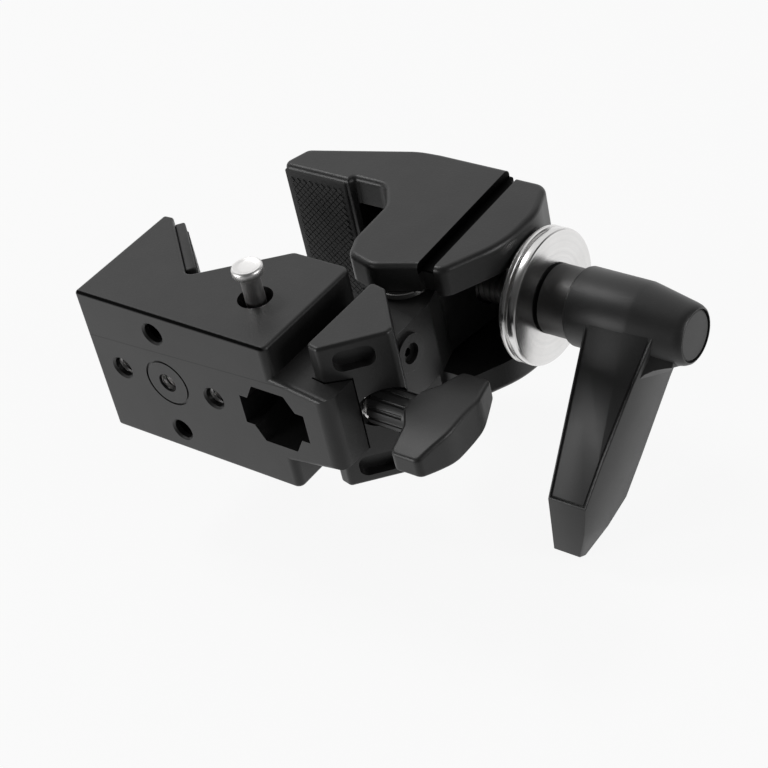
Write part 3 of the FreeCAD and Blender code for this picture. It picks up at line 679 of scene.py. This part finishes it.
def thrust_washer():
    """Wide bright washer between the arm and the moving jaw's upper plate."""
    low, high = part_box("upper_pivot_washer")
    base, top = low.z / MM, high.z / MM
    piece = lathe("upper_thrust_washer", [
        (base, 3.1), (top, 3.1), (top, 6.5), (top - 0.15, 6.7), (base + 0.9, 6.7),
        (base + 0.7, 6.5), (base, 5.2)], "Z")
    in_place_of("upper_pivot_washer", piece, "fixed", BRIGHT_STEEL)


def prism(name, outline, half):
    """Flat outline of x and height, thickened both ways along Y."""
    piece = chain(name, [(x * MM, -half * MM, z * MM) for x, z in outline])
    work_on(piece)
    select_all()
    bpy.ops.mesh.edge_face_add()
    bpy.ops.mesh.extrude_region_move(TRANSFORM_OT_translate={"value": (0, 2 * half * MM, 0)})
    select_all()
    bpy.ops.mesh.normals_make_consistent(inside=False)
    bpy.ops.object.mode_set(mode="OBJECT")
    return piece


def both_faces_sliced(piece, x, y, z, normal):
    """Cuts the back at a point in millimetres, and the front as its mirror."""
    for side in (-1, 1):
        sliced(piece, Vector((x, side * y, z)) * MM, (normal[0], side * normal[1], normal[2]))


def scored_border(piece, side):
    """Narrow groove just inside the edge of the arm's front (side -1) or back face (side 1)."""
    border, width, depth, wall = 0.5 * MM, 0.4 * MM, 0.4 * MM, 0.06 * MM
    pick_faces(piece, lambda face: side * face.normal.y > 0.97)
    for thickness, sink in ((border, 0), (wall, -depth), (width, 0), (wall, depth)):
        bpy.ops.mesh.inset(thickness=thickness, depth=sink)
    bpy.ops.object.mode_set(mode="OBJECT")


def lever():
    """Ratchet lever: turned hub, flat arm that runs off its front, and a web under the nose."""
    cone_start = 93.2
    hub = lathe("lever_hub", [
        (76.0, 7.2), (76.0, 8.7), (76.15, 9.1), (76.5, 9.45), (76.9, 9.6), (92.2, 9.55),
        (cone_start, 9.4), (103.6, 7.45), (104.6, 7.2), (105.4, 6.8), (105.7, 6.4), (105.7, 6.25),
        (103.3, 6.25), (103.3, 5.6), (84.6, 5.6), (84.6, 2.4), (82.4, 2.4), (82.4, 7.2)], "X")
    root_half = 9.42
    tip_half = 4.4
    reach = 58.6
    arm = prism("lever_arm", [
        (82.5, 0), (82.2, -7), (79.4, -52.5), (79.0, -reach), (86.3, -reach), (88.8, -51.2),
        (92.8, -31.8), (96.8, -12.8), (98.2, -7.2), (99.8, 0)], root_half)
    taper = Vector((0, reach, root_half - tip_half)).normalized()
    both_faces_sliced(arm, 0, root_half, 0, taper)
    for side in (-1, 1):
        sliced(arm, Vector((0, side * 4.85, -52.4)) * MM, (0, side * 0.87, -0.49))
        sliced(arm, Vector((cone_start, side * 9.3, 0)) * MM, (0.184, side * 0.983, 0))
    for side in (-1, 1):
        scored_border(arm, side)
    applied(arm, "BEVEL", width=0.25 * MM, segments=2, limit_method="ANGLE",
            angle_limit=radians(28))
    web_half = 9.0
    web = prism("lever_web", [
        (93.0, 0), (103.4, 0), (103.2, -7.6), (101.4, -8.2), (99.6, -9.0), (98.0, -10.2),
        (96.9, -11.7), (96.3, -13.4), (95.4, -17.0), (93.0, -26.0)], web_half)
    both_faces_sliced(web, cone_start, web_half, 0, (0.45, 0.893, 0))
    applied(web, "BEVEL", width=1.2 * MM, segments=4, limit_method="ANGLE",
            angle_limit=radians(40))
    cavity_r = 7.15
    rest_selection()
    bpy.ops.mesh.primitive_cylinder_add(vertices=96, radius=cavity_r * MM, depth=60 * MM,
                                        location=(90 * MM, 0, 0), rotation=(0, radians(90), 0))
    cutter = started("lever_cutter")
    for part in (arm, web):
        applied(part, "BOOLEAN", operation="DIFFERENCE", solver="EXACT", object=cutter)
    bpy.data.objects.remove(cutter)
    for part in (arm, web):
        part.rotation_euler = (LEVER_LEAN, 0, 0)
        baked(part)
    whole = joined("lever_moulding", [hub, arm, web])
    on_screw_axis(whole, "lever", MOULDED_BLACK)
    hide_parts("lever_handle")


def painted_joint_shadow():
    """Black tube of painted shadow in the gap where the nose casting meets the neck's end."""
    corners = [(42.6, 5.35, 11.1), (46.0, 5.3, 10.65), (50.42, 9.75, 9.98), (50.42, 9.75, -9.98),
               (46.0, 5.3, -10.65), (42.6, 5.35, -11.1)]
    line = chain("neck_painted_joint_shadow", [Vector(corner) * MM for corner in corners])
    work_on(line, "OBJECT")
    bpy.ops.object.convert(target="CURVE")
    line.data.bevel_depth = 0.22 * MM
    line.data.bevel_resolution = 2
    line.data.use_fill_caps = True
    bpy.ops.object.convert(target="MESH")
    settled(line, "fixed", PAINTED_SHADE_METAL)


discs()
lock_pin()
thrust_washer()
lever()
painted_joint_shadow()


# Scene

def area_light(name, where, aim, size, power):
    """Round soft light that looks at a point."""
    light = bpy.data.lights.new(name, "AREA")
    light.shape = "DISK"
    light.size = size
    light.energy = power
    lamp = bpy.data.objects.new(name, light)
    bpy.context.scene.collection.objects.link(lamp)
    lamp.location = where
    direction = Vector(aim) - Vector(where)
    lamp.rotation_mode = "QUATERNION"
    lamp.rotation_quaternion = direction.to_track_quat("-Z", "Y")


def seen_or_reflected(tree):
    """1 for rays that come from the camera, a reflection or glass."""
    path = put(tree, "LightPath").outputs
    seen = sums(tree, "MAXIMUM", path["Is Camera Ray"], path["Is Glossy Ray"])
    return sums(tree, "MAXIMUM", seen, path["Is Transmission Ray"])


def studio_world():
    """White backdrop beyond the object, dimmer room above and behind the camera."""
    world = bpy.data.worlds.new("studio")
    bpy.context.scene.world = world
    world.use_nodes = True
    tree = world.node_tree
    background = tree.nodes["Background"]
    background.inputs["Color"].default_value = (1, 1, 1, 1)
    way = put(tree, "TexCoord").outputs["Generated"]
    towards = put(tree, "VectorMath", [(0, way), (1, (-0.66, 0.68, 0.32))],
                  operation="DOT_PRODUCT").outputs["Value"]
    room = ramp(tree, towards, 0.25, 0.7, 0.06, 0.86)
    path = put(tree, "LightPath").outputs
    lit = ramp(tree, path["Is Diffuse Ray"], 0.0, 1.0, 0.0, 0.3)
    plain = times(tree, room, sums(tree, "SUBTRACT", 1.0, path["Is Diffuse Ray"]))
    other = sums(tree, "ADD", plain, lit)
    strength = sums(tree, "MAXIMUM", other, path["Is Camera Ray"])
    tree.links.new(strength, background.inputs["Strength"])


def pale_floor(level):
    """White floor that shows the shadow and is dimmer in reflections near the camera."""
    rest_selection()
    bpy.ops.mesh.primitive_plane_add(size=6.0, location=(0, 0, level))
    floor = started("floor")
    material = bpy.data.materials.new("pale floor")
    material.use_nodes = True
    tree = material.node_tree
    tree.nodes.remove(tree.nodes["Principled BSDF"])
    output = tree.nodes["Material Output"]
    lit = put(tree, "BsdfDiffuse", [("Color", (0.82, 0.82, 0.82, 1))])
    white = put(tree, "Emission", [("Color", (1, 1, 1, 1)), ("Strength", 1.0)])
    share = times(tree, seen_or_reflected(tree), 0.9)
    place = put(tree, "TexCoord").outputs["Object"]
    across = put(tree, "VectorMath", [(0, place), (1, (-0.7, 0.7, 0))],
                 operation="DOT_PRODUCT").outputs["Value"]
    near = ramp(tree, across, -0.16, -0.03, 0.2, 1.0)
    strength = sums(tree, "MAXIMUM", near, put(tree, "LightPath").outputs["Is Camera Ray"])
    tree.links.new(strength, white.inputs["Strength"])
    mixed = put(tree, "MixShader", [(0, share), (1, lit.outputs[0]), (2, white.outputs[0])])
    tree.links.new(mixed.outputs[0], output.inputs["Surface"])
    floor.data.materials.append(material)
    floor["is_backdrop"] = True


def photograph_camera():
    """Camera at the photograph's place, a long lens on a 36 mm sensor."""
    camera = bpy.data.objects.new("camera", bpy.data.cameras.new("camera"))
    bpy.context.scene.collection.objects.link(camera)
    camera.data.lens = 95.3
    camera.data.sensor_width = 36.0
    camera.data.clip_start = 0.01
    camera.data.clip_end = 20.0
    camera.location = (0.30465, -0.24063, 0.28132)
    aim = Vector((-0.55441, 0.56613, -0.61002))
    camera.rotation_mode = "QUATERNION"
    roll = Quaternion((0, 0, 1), radians(-13.4))
    camera.rotation_quaternion = aim.to_track_quat("-Z", "Y") @ roll
    bpy.context.scene.camera = camera


studio_world()
pale_floor(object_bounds()[0].z - 0.2 * MM)
photograph_camera()
area_light("key", (-0.46, 0.07, 0.78), (0.03, 0.03, 0), 0.24, 1.9)
area_light("fill", (-0.5, -0.77, 0.17), (0.03, 0.03, 0), 0.34, 3.5)
area_light("side", (0.75, 0.15, 0.2), (0.08, 0.04, 0), 0.3, 1.6)
bpy.context.scene.view_settings.view_transform = "Standard"
